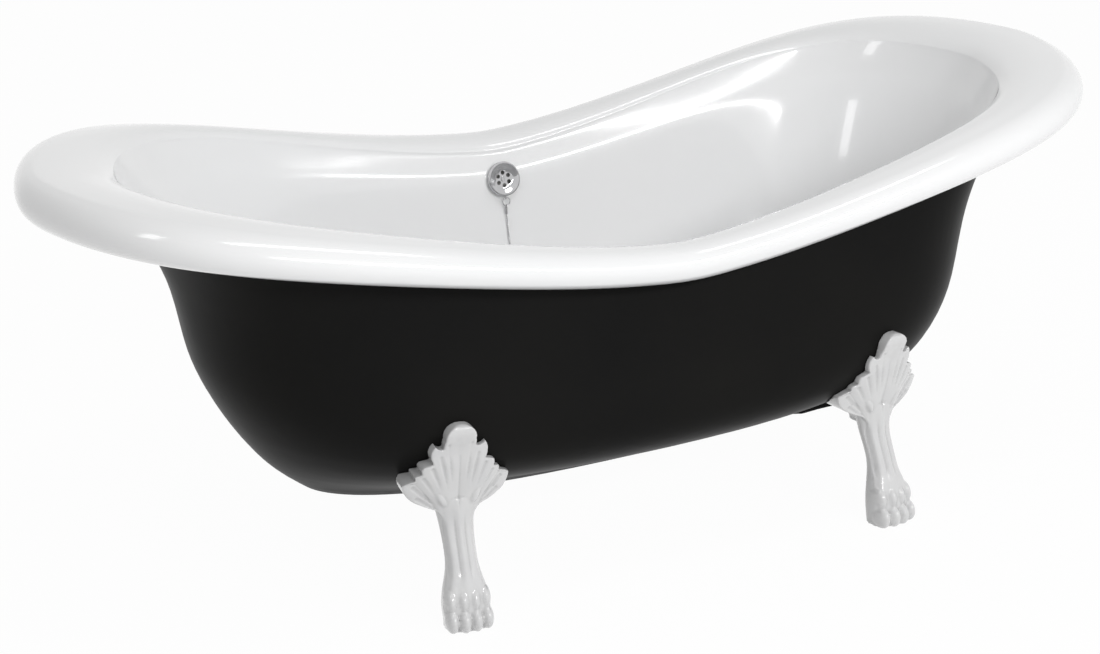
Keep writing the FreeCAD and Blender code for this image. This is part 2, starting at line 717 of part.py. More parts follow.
def waste_body():
    """Cup clamped under the floor, with an inlet for the overflow and an outlet."""
    top = FLOOR - SHELL - GASKET
    shoulder = BASE_HEIGHT - 6
    neck = WASTE_BOTTOM + OUTLET_LENGTH
    profile = [(WASTE_TAIL + FIT, top), (WASTE_BODY, top), (WASTE_BODY, shoulder),
               (OUTLET_RADIUS + 2, neck + 2), (OUTLET_RADIUS, neck), (OUTLET_RADIUS, WASTE_BOTTOM),
               (OUTLET_BORE, WASTE_BOTTOM), (OUTLET_BORE, neck), (WASTE_BODY - 4, shoulder + 3),
               (WASTE_BODY - 4, top - 8), (WASTE_TAIL + FIT, top - 8)]
    cup = lathe(profile, V(0, 0, 0), V(0, 0, 1))
    z = waste_inlet_height()
    spigot = Part.makeCylinder(HOSE_RADIUS - HOSE_WALL - FIT, 22 + SPIGOT_LENGTH,
                               V(0, WASTE_BODY - 3, z), V(0, 1, 0))
    bore = Part.makeCylinder(HOSE_RADIUS - HOSE_WALL - 2, 80, V(0, 5, z), V(0, 1, 0))
    boss_low = shoulder - 4
    parts = [spigot, upright(5, boss_low, shoulder + 12)]
    for i in range(3):
        rib = Part.makeBox(WASTE_BODY - 5, 3, 5, V(0, -1.5, boss_low + 2))
        rib.rotate(V(0, 0, 0), V(0, 0, 1), 120 * i + 30)
        parts.append(rib)
    return cup.fuse(parts).cut([bore, upright(SCREW_RADIUS + FIT, boss_low + 2, shoulder + 20)])


def waste_screw():
    seat = FLOOR + GASKET + WASTE_FACE - SEAT_DEPTH - 0.5
    head = lathe([(0, seat), (4.6, seat), (4.6, seat + 1.2), (3.4, seat + 2.4), (0, seat + 2.6)],
                 V(0, 0, 0), V(0, 0, 1))
    shank = upright(SCREW_RADIUS, BASE_HEIGHT - 6, seat)
    slot = Part.makeBox(12, 1.2, 4, V(-6, -0.6, seat + 1.6))
    return head.fuse(shank).cut(slot)


def between_skins(basin_station, hull_station):
    """Halfway across the cavity beside the waste, between a station of each skin."""
    down, _, basin_inset = basin_station
    basin_z = ROLL_MIDDLE * (1 - down) + FLOOR * down
    down, _, hull_inset = hull_station
    hull_z = (ROLL_MIDDLE - SKIN_DROP) * (1 - down) + BASE_HEIGHT * down
    return V(0, ROLL_WIDTH - (basin_inset + hull_inset) / 2, (basin_z + hull_z) / 2)


def hose_path(overflow):
    """Centre line of the overflow hose, down between the two skins."""
    start = overflow.spigot_point() - V(0, 0, OVERFLOW_BODY + 1)
    side = V(0, start.y, ROLL_MIDDLE * 0.57)
    shoulder = between_skins(BASIN_STATIONS[4], HULL_STATIONS[3])
    corner = between_skins(BASIN_STATIONS[5], HULL_STATIONS[4])
    edge = V(0, ROLL_WIDTH - HULL_STATIONS[-1][2], waste_inlet_height())
    end = V(0, WASTE_BODY + 21, waste_inlet_height())
    return [start, side, shoulder, corner, edge, end]


def round_route(points, share=0.45, least=0.0):
    """A wire of straight runs joined by tangent arcs; also returns the arcs' radii."""
    edges = []
    radii = []
    here = points[0]
    for before, corner, after in zip(points, points[1:], points[2:]):
        way_in = corner - before
        way_out = after - corner
        short = min(way_in.Length, way_out.Length)
        turn = way_in.getAngle(way_out)
        cut = share * short
        radii.append(cut / math.tan(turn / 2))
        way_in.normalize()
        way_out.normalize()
        first = corner - way_in * cut
        last = corner + way_out * cut
        inward = way_out - way_in
        inward.normalize()
        rise = radii[-1] / math.cos(turn / 2) - radii[-1]
        middle = corner + inward * rise
        edges.append(Part.LineSegment(here, first).toShape())
        edges.append(Part.Arc(first, middle, last).toShape())
        here = last
    edges.append(Part.LineSegment(here, points[-1]).toShape())
    return Part.Wire(edges), radii


def tube(wire, radius):
    """A round bar along a wire of tangent lines and arcs."""
    start = wire.OrderedVertexes[0].Point
    edge = wire.OrderedEdges[0]
    way = edge.tangentAt(edge.FirstParameter)
    circle = Part.Wire([Part.makeCircle(radius, start, way)])
    shell = Part.BRepOffsetAPI.MakePipeShell(wire)
    shell.add(circle)
    shell.build()
    shell.makeSolid()
    return shell.shape()


def overflow_hose(overflow):
    wire, _ = round_route(hose_path(overflow))
    return tube(wire, HOSE_RADIUS).cut(tube(wire, HOSE_RADIUS - HOSE_WALL))


def hose_slot(overflow):
    """Room for the hose where it comes through the board to the waste."""
    route = hose_path(overflow)
    wire, _ = round_route(route)
    radius = HOSE_RADIUS + 3
    return tube(wire, radius).fuse(Part.makeCylinder(radius, WASTE_BODY, route[-1], V(0, -1, 0)))


def hose_clips(overflow):
    points = hose_path(overflow)
    clips = []
    for end, toward in ((points[0], V(0, 0, -1)), (points[-1], V(0, 1, 0))):
        band = Part.makeCylinder(HOSE_RADIUS + 1.5, 8, end + toward * 4, toward)
        clips.append(band.cut(Part.makeCylinder(HOSE_RADIUS + FIT, 10, end + toward * 3, toward)))
    return Part.makeCompound(clips)


# ---- plug and chain ---------------------------------------------------------
def plug_level():
    return FLOOR + GASKET + WASTE_FACE


def seat_radius(depth):
    """Radius of the waste's conical seat at a depth below the flange's face."""
    slope = (SEAT_TOP - WASTE_BORE) / (SEAT_DEPTH - 0.6)
    return SEAT_TOP - slope * (depth - 0.6)


def plug_seal():
    """Tapered rubber plug that seats in the waste."""
    top = plug_level()
    low = 8.0
    profile = [(0, top - low), (seat_radius(low) - 3 - CLEAR, top - low),
               (seat_radius(low - 2) - CLEAR, top - low + 2), (seat_radius(1) - CLEAR, top - 1),
               (SEAT_TOP - 0.2, top + SEAL_RISE), (0, top + SEAL_RISE)]
    return lathe(profile, V(0, 0, 0), V(0, 0, 1)).cut(upright(2 + FIT, top - 5, top + 5))


def plug_cap():
    top = plug_level() + SEAL_RISE
    profile = [(0, top), (PLUG_CAP - 1.5, top), (PLUG_CAP, top + 1.2), (PLUG_CAP - 2, top + 3),
               (PLUG_CAP * 0.6, top + 4.6), (6, top + CAP_RISE), (0, top + CAP_RISE)]
    cap = lathe(profile, V(0, 0, 0), V(0, 0, 1))
    stem = upright(2, top - 6, top)
    return cap.fuse(stem)


def plug_eye():
    """Staple on the plug's cap that holds the chain's link."""
    top = plug_level() + SEAL_RISE + CAP_RISE
    eye = Part.makeTorus(3.4, 0.9, V(0, 0, top + 2.6), V(1, 0, 0))
    collar = upright(2.6, top, top + 0.6)
    below = upright(8, top - 10, top)
    return eye.fuse(collar).cut(below)


def coupling_barrel(end, after, length):
    """Barrel that ends face to face with the chain, in line with its first run."""
    way = end - after
    way.normalize()
    return Part.makeCylinder(CHAIN_DIAMETER / 2 + 0.4, length, end, way)


def plug_link(points):
    """Coupling between the plug's eye and the chain."""
    eye_top = plug_level() + SEAL_RISE + CAP_RISE
    middle = V(0, 3.4 + 1.0, eye_top + 2.8)
    loop = Part.makeTorus(2.7, 0.55, middle, V(0, 0, 1))
    barrel = coupling_barrel(points[-1], points[-2], points[-1].y - middle.y - 2.6)
    return loop.fuse(barrel)


def chain_points(overflow):
    """The chain's route, from under the ring on the overflow to the plug's link."""
    start = overflow.ring_pivot() - V(0, 0, CHAIN_HANG)
    return [start] + [V(*point) for point in CHAIN_ROUTE]


def chain_ring(overflow):
    pivot = overflow.ring_pivot()
    return Part.makeTorus(RING_RADIUS, RING_WIRE, pivot - V(0, 0, RING_RADIUS), V(0, 1, 0))


def chain_coupling(overflow):
    """Small loop and barrel between the ring and the first bead."""
    pivot = overflow.ring_pivot()
    low_ring = pivot - V(0, 0, 2 * RING_RADIUS)
    middle = low_ring - V(0, 0, 0.6)
    loop = Part.makeTorus(2.2, 0.55, middle, V(1, 0, 0))
    points = chain_points(overflow)
    barrel = coupling_barrel(points[0], points[1], middle.z - 2.1 - points[0].z)
    return loop.fuse(barrel)


def chain_tubes(overflow):
    points = chain_points(overflow)
    split = (points[CHAIN_SPLIT - 1] + points[CHAIN_SPLIT]) * 0.5
    upper = points[:CHAIN_SPLIT] + [split]
    lower = [split] + points[CHAIN_SPLIT:]
    solids = []
    for name, route in (("upper", upper), ("lower", lower)):
        wire, radii = round_route(route)
        solid = tube(wire, CHAIN_DIAMETER / 2)
        ideal = math.pi * CHAIN_DIAMETER ** 2 / 4 * wire.Length
        print("chain", name, "length", round(wire.Length, 1), "least radius", round(min(radii), 1),
              "volume share", round(solid.Volume / ideal, 4))
        solids.append(solid)
    return solids


def build():
    pieces = {}
    shell = basin_shell()
    overflow = Overflow(shell)
    pieces["basin_shell"] = shell.cut(overflow.holes())
    pieces["outer_skin"] = outer_skin()
    pieces["base_board"] = base_board(hose_slot(overflow))
    pieces["threaded_inserts"] = threaded_inserts()
    for corner, shape in in_four(claw_foot()).items():
        pieces["foot_" + corner] = shape
    for corner, shape in in_four(levelling_screw()).items():
        pieces["leveller_" + corner] = shape
    pieces["foot_bolts"] = foot_bolts()
    pieces["foot_washers"] = foot_washers()
    pieces["overflow_rose"] = overflow.rose()
    pieces["overflow_screw"] = overflow.screw()
    pieces["overflow_front_gasket"] = overflow.front_gasket()
    pieces["overflow_back_gasket"] = overflow.back_gasket()
    pieces["overflow_body"] = overflow.body()
    pieces["overflow_hose"] = overflow_hose(overflow)
    pieces["hose_clips"] = hose_clips(overflow)
    pieces["waste_flange"] = waste_flange()
    upper, lower = waste_gaskets()
    pieces["waste_upper_gasket"] = upper
    pieces["waste_lower_gasket"] = lower
    pieces["waste_body"] = waste_body()
    pieces["waste_screw"] = waste_screw()
    pieces["plug_seal"] = plug_seal()
    pieces["plug_cap"] = plug_cap()
    pieces["plug_eye"] = plug_eye()
    pieces["chain_ring"] = chain_ring(overflow)
    pieces["chain_coupling"] = chain_coupling(overflow)
    pieces["plug_link"] = plug_link(chain_points(overflow))
    upper, lower = chain_tubes(overflow)
    pieces["chain_upper"] = upper
    pieces["chain_lower"] = lower
    return pieces


os.makedirs("parts", exist_ok=True)
for name, shape in build().items():
    box = shape.BoundBox
    print(name, len(shape.Solids), shape.isValid(), round(shape.Volume), [round(v) for v in (
        box.XMin, box.XMax, box.YMin, box.YMax, box.ZMin, box.ZMax)])
    shape.exportStep("parts/" + name + ".step")
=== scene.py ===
import json
import math

import bmesh
import bpy
import numpy as np
from mathutils import Matrix, Vector

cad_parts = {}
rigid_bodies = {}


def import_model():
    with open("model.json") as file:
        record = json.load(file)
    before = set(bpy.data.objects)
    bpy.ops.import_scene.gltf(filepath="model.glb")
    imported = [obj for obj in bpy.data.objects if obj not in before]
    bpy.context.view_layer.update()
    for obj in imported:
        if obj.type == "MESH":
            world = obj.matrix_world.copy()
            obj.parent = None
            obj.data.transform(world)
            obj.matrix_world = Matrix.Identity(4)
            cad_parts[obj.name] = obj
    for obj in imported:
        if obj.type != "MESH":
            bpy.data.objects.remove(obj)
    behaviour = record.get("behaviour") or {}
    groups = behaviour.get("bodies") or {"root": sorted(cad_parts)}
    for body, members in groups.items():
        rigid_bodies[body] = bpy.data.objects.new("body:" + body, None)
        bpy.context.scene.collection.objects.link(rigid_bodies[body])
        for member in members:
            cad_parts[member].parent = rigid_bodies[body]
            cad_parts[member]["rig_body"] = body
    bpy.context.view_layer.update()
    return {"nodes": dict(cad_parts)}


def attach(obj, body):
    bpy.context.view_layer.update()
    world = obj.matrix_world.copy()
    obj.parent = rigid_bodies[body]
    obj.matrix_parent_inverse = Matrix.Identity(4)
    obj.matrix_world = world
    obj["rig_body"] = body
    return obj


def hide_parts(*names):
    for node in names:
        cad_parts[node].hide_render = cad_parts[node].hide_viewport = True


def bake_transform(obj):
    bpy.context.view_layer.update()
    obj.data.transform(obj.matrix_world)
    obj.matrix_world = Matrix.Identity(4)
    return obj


# A double slipper bathtub: white basin with a rolled rim, black outer skin, four
# enamelled claw feet, chrome overflow, waste, plug and bead chain.  Metres.

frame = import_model()
scene = bpy.context.scene
bpy.ops.object.select_all(action="DESELECT")

# ---- sizes the pieces share -------------------------------------------------
ROLL_LENGTH = 0.9024          # the rolled rim's centre line, half along and half across
ROLL_WIDTH = 0.3624
ROLL_MIDDLE = 0.5315          # its height halfway along and at the ends
ROLL_END = 0.6714
ROLL_OUT = 0.0376             # the roll, outwards and inwards (ends, sides)
ROLL_IN = (0.120, 0.048)
LIP_IN = (0.120, 0.036)       # the same for the lip curled under the roll
ROLL_RISE = (0.0295, 0.0376)  # half the roll's height, halfway along and at the ends
RIM_CURVE = 1.567             # how late the rim climbs, and how softly it levels out
RIM_EASE = 1.678
RIM_POWERS = (6.4, 1.57)      # roundness of the plan outline along and across, at the rim
BASE_POWERS = (2.5, 2.2)      # and round the floor
FLOOR = 0.167
SHELL = 0.008                 # thickness of the basin's wall
# The wall: share of the way down, and how far in from the roll (ends, sides).
BASIN_STATIONS = [
    (0.05, 0.1404, 0.0589), (0.12, 0.1644, 0.0684), (0.30, 0.2104, 0.0794),
    (0.50, 0.2464, 0.0904), (0.70, 0.2804, 0.1124), (0.85, 0.3214, 0.1474),
    (0.95, 0.3644, 0.1854), (1.00, 0.4054, 0.2134),
]
LIP_ANGLES = (-150, -135, -120, -105)
ROLL_ANGLES = range(-90, 181, 15)
FLOOR_SHARES = (0.15, 0.4, 0.7, 0.9, 1.0)   # share of the way from the floor's edge to the waste
CORNER_FACES = 16             # faces of the quarter sheet, from the tub's end to its side
OUTLINE_STEPS = 301
WASTE_HOLE = 0.0255           # radius
OVERFLOW_HOLE = 0.0195
FOOT_X = 0.388                # top of the leg, from the middle of the tub
FOOT_Y = 0.310
FOOT_SPLAY = math.radians(8)  # toes turned towards the tub's end
LEG_TOP = 0.172               # where the leg runs into the leaf
FAN_DROP = 0.035              # the leaf's flutes fan out from a point this far below
FLUTE_RATE = 5.2
FLUTE_DEPTH = 0.0042
TENDON_WIDTH = 0.0085
TENDON_DEPTH = 0.0022
ARM_OUT = -0.016              # the arm lies further in than this, and within this half width
ARM_SIDE = 0.0195
CASTING_GRID = 0.0017
OVERFLOW = Vector((0, 0.294637, 0.490))
OVERFLOW_OUT = Vector((0, -0.9566, 0.2914)).normalized()
DRILL_LENGTH = 0.06
CHAIN_DIAMETER = 0.0032
WIRE_RADIUS = 0.0005
BEAD_PITCH = 0.0042
# The bead chain from the overflow down the wall, over the floor and up to the plug.
CHAIN_ROUTE = [
    (0.0000, 0.27983, 0.42923), (0.0008, 0.2779, 0.4020), (0.0030, 0.2726, 0.3660),
    (0.0052, 0.2644, 0.3290), (0.0070, 0.2526, 0.2910), (0.0074, 0.2350, 0.2545),
    (0.0068, 0.2116, 0.2220), (0.0052, 0.1866, 0.1965), (0.0042, 0.1574, 0.1748),
    (0.0030, 0.1300, 0.1693), (0.0062, 0.0988, 0.1694), (0.0036, 0.0683, 0.1693),
    (0.0014, 0.0400, 0.1762), (0.0005, 0.0245, 0.1806), (0.0000, 0.0125, 0.1824),
]
CHAIN_SPLIT = 8               # points that belong to the upper chain
WELD = 0.00001

# ---- camera -----------------------------------------------------------------
CAMERA_TARGET = Vector((-0.0830, -0.0474, 0.3350))
CAMERA_DISTANCE = 3.9977
CAMERA_TURN = math.radians(-26.961)
CAMERA_RISE = math.radians(20.5425)
CAMERA_ROLL = math.radians(-0.8883)
CAMERA_LENS = 78.22           # for a sensor 36 mm wide


def place_camera():
    back = Vector((math.sin(CAMERA_TURN) * math.cos(CAMERA_RISE),
                   -math.cos(CAMERA_TURN) * math.cos(CAMERA_RISE),
                   math.sin(CAMERA_RISE)))
    level = (-back).cross(Vector((0, 0, 1))).normalized()
    upright = level.cross(-back)
    right = level * math.cos(CAMERA_ROLL) + upright * math.sin(CAMERA_ROLL)
    up = upright * math.cos(CAMERA_ROLL) - level * math.sin(CAMERA_ROLL)
    data = bpy.data.cameras.new("camera")
    data.sensor_width = 36
    data.lens = CAMERA_LENS
    data.clip_end = 100
    camera = bpy.data.objects.new("camera", data)
    scene.collection.objects.link(camera)
    turn = Matrix((right, up, back)).transposed().to_4x4()
    camera.matrix_world = Matrix.Translation(CAMERA_TARGET + back * CAMERA_DISTANCE) @ turn
    scene.camera = camera


# ---- materials --------------------------------------------------------------
def new_material(name, roughness, metallic=0.0):
    material = bpy.data.materials.new(name)
    material.use_nodes = True
    shader = material.node_tree.nodes["Principled BSDF"]
    shader.inputs["Roughness"].default_value = roughness
    shader.inputs["Metallic"].default_value = metallic
    return material, shader


def lacquered(shader, weight, roughness):
    shader.inputs["Coat Weight"].default_value = weight
    shader.inputs["Coat Roughness"].default_value = roughness


def noise(material, scale, detail):
    nodes = material.node_tree.nodes
    place = nodes.new("ShaderNodeTexCoord")
    texture = nodes.new("ShaderNodeTexNoise")
    texture.inputs["Scale"].default_value = scale
    texture.inputs["Detail"].default_value = detail
    material.node_tree.links.new(place.outputs["Object"], texture.inputs["Vector"])
    return texture.outputs["Fac"]


def clouded(material, shader, dark, light, scale, detail=3.0):
    """Base colour that drifts between two shades over the piece."""
    ramp = material.node_tree.nodes.new("ShaderNodeValToRGB")
    ramp.color_ramp.elements[0].position = 0.3
    ramp.color_ramp.elements[0].color = (*dark, 1)
    ramp.color_ramp.elements[1].position = 0.7
    ramp.color_ramp.elements[1].color = (*light, 1)
    links = material.node_tree.links
    links.new(noise(material, scale, detail), ramp.inputs["Fac"])
    links.new(ramp.outputs["Color"], shader.inputs["Base Color"])


def rippled(material, shader, scale, height, detail=2.0):
    """Fine unevenness of the surface, height in metres."""
    bump = material.node_tree.nodes.new("ShaderNodeBump")
    bump.inputs["Strength"].default_value = 1.0
    bump.inputs["Distance"].default_value = height
    links = material.node_tree.links
    links.new(noise(material, scale, detail), bump.inputs["Height"])
    links.new(bump.outputs["Normal"], shader.inputs["Normal"])


def gloss_acrylic():
    """Thermoformed white acrylic: deep gloss with a faint waviness."""
    material, shader = new_material("gloss_acrylic", 0.16)
    clouded(material, shader, (0.855, 0.86, 0.865), (0.88, 0.88, 0.882), 1.6)
    rippled(material, shader, 7.0, 0.0006)
    lacquered(shader, 0.8, 0.02)
    return material


def satin_black():
    """Black gel coat with a soft sheen and fine orange peel."""
    material, shader = new_material("satin_black", 0.36)
    clouded(material, shader, (0.0095, 0.0095, 0.0095), (0.0125, 0.0122, 0.0115), 2.5)
    rippled(material, shader, 420.0, 0.00003)
    shader.inputs["Specular IOR Level"].default_value = 0.02
    return material


def paint_crease_shade(material, shader):
    """Painted shade in the hollows: the base colour is dimmed where the surface is hollow."""
    nodes = material.node_tree.nodes
    links = material.node_tree.links
    shape = nodes.new("ShaderNodeNewGeometry")
    crease_shade_scale = nodes.new("ShaderNodeMapRange")
    crease_shade_scale.inputs["From Min"].default_value = 0.42
    crease_shade_scale.inputs["From Max"].default_value = 0.5
    crease_shade_scale.inputs["To Min"].default_value = 0.5
    links.new(shape.outputs["Pointiness"], crease_shade_scale.inputs["Value"])
    dim = nodes.new("ShaderNodeVectorMath")
    dim.operation = "SCALE"
    links.new(shader.inputs["Base Color"].links[0].from_socket, dim.inputs[0])
    links.new(crease_shade_scale.outputs["Result"], dim.inputs["Scale"])
    links.new(dim.outputs["Vector"], shader.inputs["Base Color"])


def gloss_enamel():
    """White enamel over a casting, slightly uneven, with painted shade in the creases."""
    material, shader = new_material("gloss_enamel", 0.2)
    clouded(material, shader, (0.63, 0.63, 0.635), (0.67, 0.67, 0.67), 22.0)
    # painted shade: the enamel's colour is dimmed in the creases
    paint_crease_shade(material, shader)
    rippled(material, shader, 60.0, 0.0005)
    lacquered(shader, 0.7, 0.05)
    return material


def chrome_plate(name, shade):
    """Bright plating with a trace of blue, drifting between two close shades."""
    material, shader = new_material(name, 0.07, metallic=1.0)
    light = shade + 0.06
    clouded(material, shader, (shade, shade, shade + 0.01), (light, light, light + 0.01), 90.0)
    rippled(material, shader, 220.0, 0.00002)
    return material


def zinc_plate():
    material, shader = new_material("zinc_plate", 0.34, metallic=1.0)
    clouded(material, shader, (0.50, 0.51, 0.53), (0.62, 0.63, 0.66), 260.0)
    rippled(material, shader, 500.0, 0.00003)
    return material


def turned_brass():
    material, shader = new_material("turned_brass", 0.3, metallic=1.0)
    clouded(material, shader, (0.64, 0.46, 0.2), (0.76, 0.58, 0.28), 180.0)
    return material


def soft_rubber():
    material, shader = new_material("soft_rubber", 0.6)
    clouded(material, shader, (0.018, 0.018, 0.018), (0.03, 0.03, 0.031), 120.0)
    rippled(material, shader, 700.0, 0.00004)
    return material


def moulded_plastic():
    material, shader = new_material("moulded_plastic", 0.45)
    clouded(material, shader, (0.78, 0.78, 0.76), (0.83, 0.83, 0.81), 60.0)
    rippled(material, shader, 400.0, 0.00003)
    return material


def raw_board():
    """Pressed board: fine chips in two browns."""
    material, shader = new_material("raw_board", 0.8)
    clouded(material, shader, (0.36, 0.25, 0.14), (0.62, 0.48, 0.31), 240.0, 6.0)
    rippled(material, shader, 300.0, 0.0002)
    return material


FINISHES = {
    "white_acrylic": gloss_acrylic(),
    "black_skin": satin_black(),
    "white_enamel": gloss_enamel(),
    "chrome": chrome_plate("polished_chrome", 0.47),
    "chain": chrome_plate("bead_chrome", 0.47),
    "zinc_steel": zinc_plate(),
    "brass_insert": turned_brass(),
    "black_rubber": soft_rubber(),
    "waste_plastic": moulded_plastic(),
    "board": raw_board(),
}


def finish_piece(piece, body, finish):
    """Gives a piece its finish and the body it moves with."""
    piece.data.materials.clear()
    piece.data.materials.append(FINISHES[finish])
    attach(piece, body)


# ---- working on a mesh ------------------------------------------------------
def pick(piece):
    bpy.ops.object.select_all(action="DESELECT")
    piece.select_set(True)
    bpy.context.view_layer.objects.active = piece


def apply_modifier(piece, kind, **settings):
    """Adds a modifier with its settings and applies it at once."""
    pick(piece)
    bpy.ops.object.modifier_add(type=kind)
    modifier = piece.modifiers[-1]
    for setting, value in settings.items():
        setattr(modifier, setting, value)
    bpy.ops.object.modifier_apply(modifier=modifier.name)


def welded_copy(node, name):
    """A copy of a frame piece whose triangles are joined, ready to be smoothed."""
    piece = bpy.data.objects.new(name, frame["nodes"][node].data.copy())
    scene.collection.objects.link(piece)
    pick(piece)
    bpy.ops.mesh.customdata_custom_splitnormals_clear()
    bpy.ops.object.mode_set(mode="EDIT")
    bpy.ops.mesh.select_all(action="SELECT")
    bpy.ops.mesh.remove_doubles(threshold=WELD)
    bpy.ops.object.mode_set(mode="OBJECT")
    return piece


def smooth(piece, degrees):
    pick(piece)
    bpy.ops.object.shade_smooth_by_angle(angle=math.radians(degrees))


def plain_piece(node, finish, degrees=30):
    """A frame piece that only needs its round faces shaded smooth."""
    piece = welded_copy(node, node + "_shown")
    smooth(piece, degrees)
    finish_piece(piece, frame["nodes"][node]["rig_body"], finish)
    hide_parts(node)


# ---- basin ------------------------------------------------------------------
def corner_line(half_length, half_width, long_power, cross_power):
    """A quarter of the plan outline, evenly spaced from the end to the side."""
    turn = np.linspace(0, math.pi / 2, OUTLINE_STEPS)
    x = half_length * np.cos(turn) ** (2 / long_power)
    y = half_width * np.sin(turn) ** (2 / cross_power)
    run = np.concatenate([[0], np.cumsum(np.hypot(np.diff(x), np.diff(y)))])
    goal = np.linspace(0, run[-1], CORNER_FACES + 1)
    return np.interp(goal, run, x), np.interp(goal, run, y)


def rim_height(share):
    """Height of the roll's centre line; share is 0 halfway along and 1 at an end."""
    sweep = 1 - (1 - np.minimum(1, share) ** RIM_CURVE) ** RIM_EASE
    return ROLL_MIDDLE + (ROLL_END - ROLL_MIDDLE) * sweep


def roll_line(degrees, inward):
    """A quarter of the rolled rim, at an angle about its centre line."""
    c = math.cos(math.radians(degrees))
    s = math.sin(math.radians(degrees))
    half_length = ROLL_LENGTH + (ROLL_OUT if c > 0 else inward[0]) * c
    half_width = ROLL_WIDTH + (ROLL_OUT if c > 0 else inward[1]) * c
    x, y = corner_line(half_length, half_width, *RIM_POWERS)
    share = x / half_length
    rise = ROLL_RISE[0] + (ROLL_RISE[1] - ROLL_RISE[0]) * share ** 2
    return np.stack([x, y, rim_height(share) + rise * s], axis=1)


def wall_line(down, end_inset, side_inset):
    """A quarter round the wall: down is 0 at the roll and 1 round the flat floor."""
    powers = [rim + (base - rim) * down for rim, base in zip(RIM_POWERS, BASE_POWERS)]
    x, y = corner_line(ROLL_LENGTH - end_inset, ROLL_WIDTH - side_inset, *powers)
    return np.stack([x, y, rim_height(x / ROLL_LENGTH) * (1 - down) + FLOOR * down], axis=1)


def basin_places():
    """Lines of places over a quarter of the basin, from its lip to the waste's hole."""
    lines = [roll_line(degrees, LIP_IN) for degrees in LIP_ANGLES]
    lines += [roll_line(degrees, ROLL_IN) for degrees in ROLL_ANGLES]
    lines += [wall_line(*station) for station in BASIN_STATIONS]
    edge = lines[-1]
    reach = np.hypot(edge[:, 0], edge[:, 1])
    for share in FLOOR_SHARES:
        near = 1 - share * (1 - WASTE_HOLE / reach)
        lines.append(edge * np.stack([near, near, np.ones_like(near)], axis=1))
    return np.array(lines)


def let_out(places, rounds=8):
    """Control points whose subdivided surface passes through the places.

    Subdividing draws a point in by a sixth of its bend, so the points are let out by as much,
    first along each line, whose mirrored half is taken into account, and then down the wall.
    """
    across = places.copy()
    for _ in range(rounds):
        before = across[:, 1:2] * (1, -1, 1)
        after = across[:, -2:-1] * (-1, 1, 1)
        wide = np.concatenate([before, across, after], axis=1)
        across = places - (wide[:, 2:] + wide[:, :-2] - 2 * across) / 6
    down = across.copy()
    for _ in range(rounds):
        bend = np.zeros_like(down)
        bend[1:-1] = down[2:] + down[:-2] - 2 * down[1:-1]
        down = across - bend / 6
    return down


def basin():
    """Basin and rolled rim as one moulding: a quarter sheet, mirrored, given its wall."""
    goal = let_out(basin_places())
    lines, across = goal.shape[:2]
    bpy.ops.mesh.primitive_grid_add(x_subdivisions=across - 1, y_subdivisions=lines - 1, size=1)
    piece = bpy.context.object
    piece.name = "basin"
    bpy.ops.object.mode_set(mode="EDIT")
    bpy.ops.mesh.select_all(action="DESELECT")
    sheet = bmesh.from_edit_mesh(piece.data)
    sheet.verts.ensure_lookup_table()
    for i, place in enumerate(goal.reshape(-1, 3)):
        point = sheet.verts[i]
        point.select = True
        bpy.ops.transform.translate(value=Vector(place) - point.co)
        point.select = False
    bpy.ops.object.mode_set(mode="OBJECT")
    apply_modifier(piece, "MIRROR", use_axis=(True, True, False), merge_threshold=0.0002)
    bpy.ops.object.mode_set(mode="EDIT")
    bpy.ops.mesh.select_all(action="SELECT")
    bpy.ops.mesh.normals_make_consistent(inside=False)
    bpy.ops.object.mode_set(mode="OBJECT")
    apply_modifier(piece, "SOLIDIFY", thickness=SHELL, offset=-1)
    apply_modifier(piece, "SUBSURF", levels=2, render_levels=2)
    cut_overflow_hole(piece)
    smooth(piece, 35)
    finish_piece(piece, "tub", "white_acrylic")
    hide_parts("basin_shell")


def cut_overflow_hole(piece):
    """The hole for the overflow, drilled square to the sloping wall."""
    turn = OVERFLOW_OUT.to_track_quat("Z", "Y").to_euler()
    bpy.ops.mesh.primitive_cylinder_add(vertices=64, radius=OVERFLOW_HOLE, depth=DRILL_LENGTH,
                                        location=OVERFLOW, rotation=turn)
    drill = bpy.context.object
    apply_modifier(piece, "BOOLEAN", operation="DIFFERENCE", solver="EXACT", object=drill)
    bpy.data.objects.remove(drill)


# ---- claw feet --------------------------------------------------------------
def foot_places(points):
    """Side and outward place of points of the foot at +X -Y, from the top of its leg."""
    x = points[:, 0] - FOOT_X
    y = points[:, 1] + FOOT_Y
    side = x * math.cos(FOOT_SPLAY) + y * math.sin(FOOT_SPLAY)
    out = x * math.sin(FOOT_SPLAY) - y * math.cos(FOOT_SPLAY)
    return side, out


def ease(value, low, high):
    """0 below low, 1 above high, smooth between."""
    share = np.clip((value - low) / (high - low), 0, 1)
    return share * share * (3 - 2 * share)


